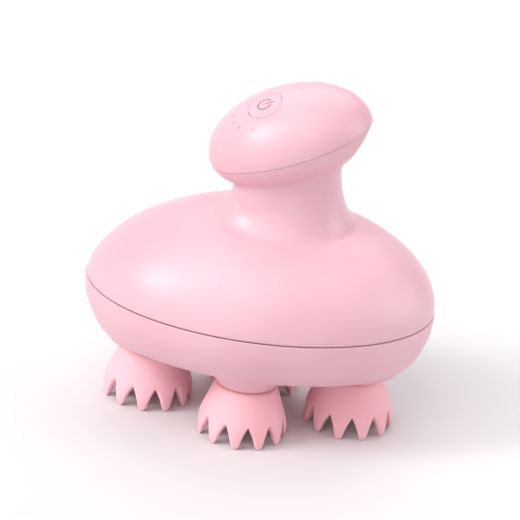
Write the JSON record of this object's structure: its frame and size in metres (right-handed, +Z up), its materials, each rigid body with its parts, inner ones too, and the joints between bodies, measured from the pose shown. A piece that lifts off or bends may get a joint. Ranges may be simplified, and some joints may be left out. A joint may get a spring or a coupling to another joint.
{
  "type": "scalp massager",
  "caption": "Cordless electric scalp massager with an oval dome body, tilted egg-shaped knob, push button and four counter-turning fingered heads",
  "frame": {"origin": "floor under the middle of the oval body, level with the fingertips of the massage heads", "axes": "+Z up, +X along the body towards the high end of the knob, +Y away from the power button's side, square to both"},
  "size_m": [0.125, 0.087, 0.127],
  "materials": {
    "shell_plastic": "soft satin",
    "head_silicone": "satin silicone",
    "seal_rubber": "matte",
    "clear_plastic": "frosted",
    "board_green": "solder mask",
    "black_plastic": "matte",
    "lead_red": "insulation",
    "lead_black": "insulation",
    "white_plastic": "moulded",
    "gear_nylon": "moulded nylon",
    "steel": "plated",
    "brass": "turned",
    "cell_wrap": "shrink wrap"
  },
  "bodies": {
    "housing": {"upper_shell": "shell_plastic", "knob_cap": "shell_plastic", "lower_cover": "shell_plastic", "body_gasket": "seal_rubber", "knob_seal": "seal_rubber", "led_lenses": "clear_plastic", "control_board": "board_green", "tact_switch": "steel", "led_chips": "white_plastic", "board_chips": "black_plastic", "board_screws": "steel", "motor_can": "steel", "motor_end_cap": "white_plastic", "motor_plate": "white_plastic", "motor_screws": "steel", "gear_plate": "white_plastic", "idler_pins": "steel", "spindle_bushes": "brass", "plate_bushes": "brass", "spindle_seals": "seal_rubber", "post_screws": "steel", "cover_screws": "steel", "battery_cell": "cell_wrap", "battery_cradle": "white_plastic", "battery_leads": "lead_red", "motor_leads": "lead_red", "charging_socket": "black_plastic", "socket_contacts": "brass", "socket_seal": "seal_rubber", "socket_leads": "lead_black"},
    "head_front": {"massage_head_front": "head_silicone", "head_core_front": "white_plastic", "head_screw_front": "steel", "spindle_front": "steel", "head_gear_front": "gear_nylon"},
    "head_back": {"massage_head_back": "head_silicone", "head_core_back": "white_plastic", "head_screw_back": "steel", "spindle_back": "steel", "head_gear_back": "gear_nylon"},
    "head_near": {"massage_head_near": "head_silicone", "head_core_near": "white_plastic", "head_screw_near": "steel", "spindle_near": "steel", "head_gear_near": "gear_nylon"},
    "head_far": {"massage_head_far": "head_silicone", "head_core_far": "white_plastic", "head_screw_far": "steel", "spindle_far": "steel", "head_gear_far": "gear_nylon"},
    "centre_drive": {"centre_gear": "gear_nylon", "centre_shaft": "steel", "reduction_wheel": "gear_nylon"},
    "idler_front": {"idler_gear_front": "gear_nylon"},
    "idler_back": {"idler_gear_back": "gear_nylon"},
    "compound_drive": {"compound_gear": "gear_nylon"},
    "motor_rotor": {"motor_shaft": "steel", "motor_pinion": "brass"},
    "button": {"power_button": "shell_plastic"}
  },
  "joints": [
    {"name": "turn_head_front", "type": "hinge", "parent": "housing", "child": "head_front", "pos_m": [-0.036, 0, 0.02], "axis": [0, 0, 1], "continuous": true},
    {"name": "turn_head_back", "type": "hinge", "parent": "housing", "child": "head_back", "pos_m": [0.036, 0, 0.02], "axis": [0, 0, 1], "continuous": true},
    {"name": "turn_head_near", "type": "hinge", "parent": "housing", "child": "head_near", "pos_m": [0, -0.02, 0.02], "axis": [0, 0, 1], "continuous": true},
    {"name": "turn_head_far", "type": "hinge", "parent": "housing", "child": "head_far", "pos_m": [0, 0.02, 0.02], "axis": [0, 0, 1], "continuous": true},
    {"name": "turn_centre", "type": "hinge", "parent": "housing", "child": "centre_drive", "pos_m": [0, 0, 0.036], "axis": [0, 0, 1], "continuous": true},
    {"name": "turn_idler_front", "type": "hinge", "parent": "housing", "child": "idler_front", "pos_m": [-0.016, 0, 0.036], "axis": [0, 0, 1], "continuous": true},
    {"name": "turn_idler_back", "type": "hinge", "parent": "housing", "child": "idler_back", "pos_m": [0.016, 0, 0.036], "axis": [0, 0, 1], "continuous": true},
    {"name": "turn_compound", "type": "hinge", "parent": "housing", "child": "compound_drive", "pos_m": [0.016, 0, 0.05], "axis": [0, 0, 1], "continuous": true},
    {"name": "turn_motor", "type": "hinge", "parent": "housing", "child": "motor_rotor", "pos_m": [0, 0, 0.055], "axis": [0, 0, 1], "continuous": true},
    {"name": "press_button", "type": "slide", "parent": "housing", "child": "button", "axis": [0.4506, 0.2631, -0.8531], "range_m": [0, 0.0006], "stiffness_N_per_m": 2500, "springref_m": -0.0002}
  ],
  "couplings": [
    {"joint": "turn_head_back", "follows": "turn_head_front", "ratio": 1},
    {"joint": "turn_head_near", "follows": "turn_head_front", "ratio": -1},
    {"joint": "turn_head_far", "follows": "turn_head_front", "ratio": -1},
    {"joint": "turn_centre", "follows": "turn_head_front", "ratio": 1.5},
    {"joint": "turn_idler_front", "follows": "turn_head_front", "ratio": -1.5},
    {"joint": "turn_idler_back", "follows": "turn_head_front", "ratio": -1.5},
    {"joint": "turn_compound", "follows": "turn_head_front", "ratio": -4.5},
    {"joint": "turn_motor", "follows": "turn_head_front", "ratio": 24.3}
  ]
}
